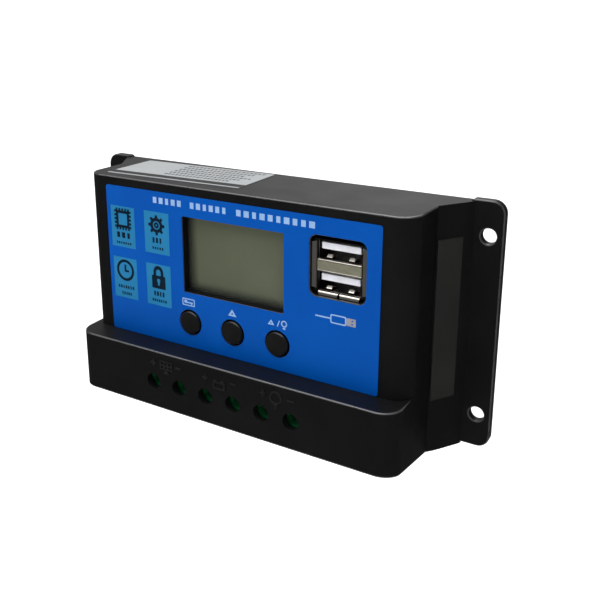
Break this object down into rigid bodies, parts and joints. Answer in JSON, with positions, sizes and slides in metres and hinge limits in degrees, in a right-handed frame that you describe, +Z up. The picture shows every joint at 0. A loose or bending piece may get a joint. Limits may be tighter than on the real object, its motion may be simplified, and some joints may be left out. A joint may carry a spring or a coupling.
{
  "type": "solar charge controller",
  "caption": "Wall-mounted solar charge controller: black moulded casing with a display, push buttons, a double USB socket and a screw terminal block behind a ledge.",
  "frame": {"origin": "middle of the four wall-screw holes, on the back plane that lies against the wall", "axes": "+X to the right seen from the front, +Y back into the wall, +Z up; the display and the buttons face -Y"},
  "size_m": [0.1334, 0.035, 0.07],
  "materials": {
    "casing_plastic": "satin moulded ABS",
    "blue_film": "printed polyester film",
    "white_film": "printed vinyl sticker",
    "dark_film": "dark vinyl sticker",
    "display_glass": "liquid crystal glass with a polariser, unlit",
    "light_guide": "diffusing acrylic",
    "holder_plastic": "moulded nylon",
    "tinned_pins": "tinned wire",
    "board_laminate": "green solder mask",
    "screw_steel": "nickel plated",
    "screw_zinc": "zinc plated",
    "switch_plastic": "moulded",
    "button_plastic": "satin moulded",
    "shell_steel": "tin plated sheet",
    "tongue_plastic": "white moulded",
    "contact_brass": "gold flashed",
    "green_plastic": "green moulded polyamide",
    "tinned_copper": "tinned",
    "epoxy": "black epoxy",
    "pad_rubber": "silicone",
    "spreader_aluminium": "milled",
    "capacitor_sleeve": "shrink sleeve",
    "ferrite": "moulded ferrite",
    "ceramic": "sintered",
    "resistor_alloy": "coated alloy strip"
  },
  "bodies": {
    "casing": {"front_housing": "casing_plastic", "rear_cover": "casing_plastic", "cover_screws": "screw_steel", "front_label": "blue_film", "rating_label": "white_film", "side_label": "dark_film", "lcd_glass": "display_glass", "lcd_backlight": "light_guide", "lcd_holder": "holder_plastic", "lcd_pins": "tinned_pins", "circuit_board": "board_laminate", "board_screws": "screw_steel", "tact_switches": "switch_plastic", "usb_shell": "shell_steel", "usb_insulator": "tongue_plastic", "usb_contacts": "contact_brass", "terminal_block": "green_plastic", "terminal_bars": "tinned_copper", "power_transistors": "epoxy", "thermal_pads": "pad_rubber", "heat_spreader": "spreader_aluminium", "capacitors": "capacitor_sleeve", "inductor": "ferrite", "regulator_chip": "epoxy", "diode": "epoxy", "microcontroller": "epoxy", "chip_parts": "ceramic", "shunt_resistor": "resistor_alloy"},
    "button_1": {"button_cap_1": "button_plastic", "switch_plunger_1": "switch_plastic"},
    "button_2": {"button_cap_2": "button_plastic", "switch_plunger_2": "switch_plastic"},
    "button_3": {"button_cap_3": "button_plastic", "switch_plunger_3": "switch_plastic"},
    "screw_1": {"terminal_screw_1": "screw_zinc"},
    "cage_1": {"clamp_cage_1": "tinned_copper"},
    "screw_2": {"terminal_screw_2": "screw_zinc"},
    "cage_2": {"clamp_cage_2": "tinned_copper"},
    "screw_3": {"terminal_screw_3": "screw_zinc"},
    "cage_3": {"clamp_cage_3": "tinned_copper"},
    "screw_4": {"terminal_screw_4": "screw_zinc"},
    "cage_4": {"clamp_cage_4": "tinned_copper"},
    "screw_5": {"terminal_screw_5": "screw_zinc"},
    "cage_5": {"clamp_cage_5": "tinned_copper"},
    "screw_6": {"terminal_screw_6": "screw_zinc"},
    "cage_6": {"clamp_cage_6": "tinned_copper"}
  },
  "joints": [
    {"name": "press_button_1", "type": "slide", "parent": "casing", "child": "button_1", "axis": [0, 1, 0], "range_m": [0, 0.0005], "stiffness_N_per_m": 600, "springref_m": -0.003},
    {"name": "press_button_2", "type": "slide", "parent": "casing", "child": "button_2", "axis": [0, 1, 0], "range_m": [0, 0.0005], "stiffness_N_per_m": 600, "springref_m": -0.003},
    {"name": "press_button_3", "type": "slide", "parent": "casing", "child": "button_3", "axis": [0, 1, 0], "range_m": [0, 0.0005], "stiffness_N_per_m": 600, "springref_m": -0.003},
    {"name": "turn_screw_1", "type": "hinge", "parent": "casing", "child": "screw_1", "pos_m": [-0.02312, -0.0265, -0.0234], "axis": [0, 1, 0], "range_deg": [0, 2520]},
    {"name": "turn_screw_2", "type": "hinge", "parent": "casing", "child": "screw_2", "pos_m": [-0.01388, -0.0265, -0.0234], "axis": [0, 1, 0], "range_deg": [0, 2520]},
    {"name": "turn_screw_3", "type": "hinge", "parent": "casing", "child": "screw_3", "pos_m": [-0.00462, -0.0265, -0.0234], "axis": [0, 1, 0], "range_deg": [0, 2520]},
    {"name": "turn_screw_4", "type": "hinge", "parent": "casing", "child": "screw_4", "pos_m": [0.00462, -0.0265, -0.0234], "axis": [0, 1, 0], "range_deg": [0, 2520]},
    {"name": "turn_screw_5", "type": "hinge", "parent": "casing", "child": "screw_5", "pos_m": [0.01388, -0.0265, -0.0234], "axis": [0, 1, 0], "range_deg": [0, 2520]},
    {"name": "turn_screw_6", "type": "hinge", "parent": "casing", "child": "screw_6", "pos_m": [0.02312, -0.0265, -0.0234], "axis": [0, 1, 0], "range_deg": [0, 2520]},
    {"name": "raise_cage_1", "type": "slide", "parent": "casing", "child": "cage_1", "axis": [0, -1, 0], "range_m": [0, 0.0035]},
    {"name": "raise_cage_2", "type": "slide", "parent": "casing", "child": "cage_2", "axis": [0, -1, 0], "range_m": [0, 0.0035]},
    {"name": "raise_cage_3", "type": "slide", "parent": "casing", "child": "cage_3", "axis": [0, -1, 0], "range_m": [0, 0.0035]},
    {"name": "raise_cage_4", "type": "slide", "parent": "casing", "child": "cage_4", "axis": [0, -1, 0], "range_m": [0, 0.0035]},
    {"name": "raise_cage_5", "type": "slide", "parent": "casing", "child": "cage_5", "axis": [0, -1, 0], "range_m": [0, 0.0035]},
    {"name": "raise_cage_6", "type": "slide", "parent": "casing", "child": "cage_6", "axis": [0, -1, 0], "range_m": [0, 0.0035]}
  ],
  "couplings": [
    {"joint": "turn_screw_1", "follows": "raise_cage_1", "rad_per_m": 12566},
    {"joint": "turn_screw_2", "follows": "raise_cage_2", "rad_per_m": 12566},
    {"joint": "turn_screw_3", "follows": "raise_cage_3", "rad_per_m": 12566},
    {"joint": "turn_screw_4", "follows": "raise_cage_4", "rad_per_m": 12566},
    {"joint": "turn_screw_5", "follows": "raise_cage_5", "rad_per_m": 12566},
    {"joint": "turn_screw_6", "follows": "raise_cage_6", "rad_per_m": 12566}
  ]
}
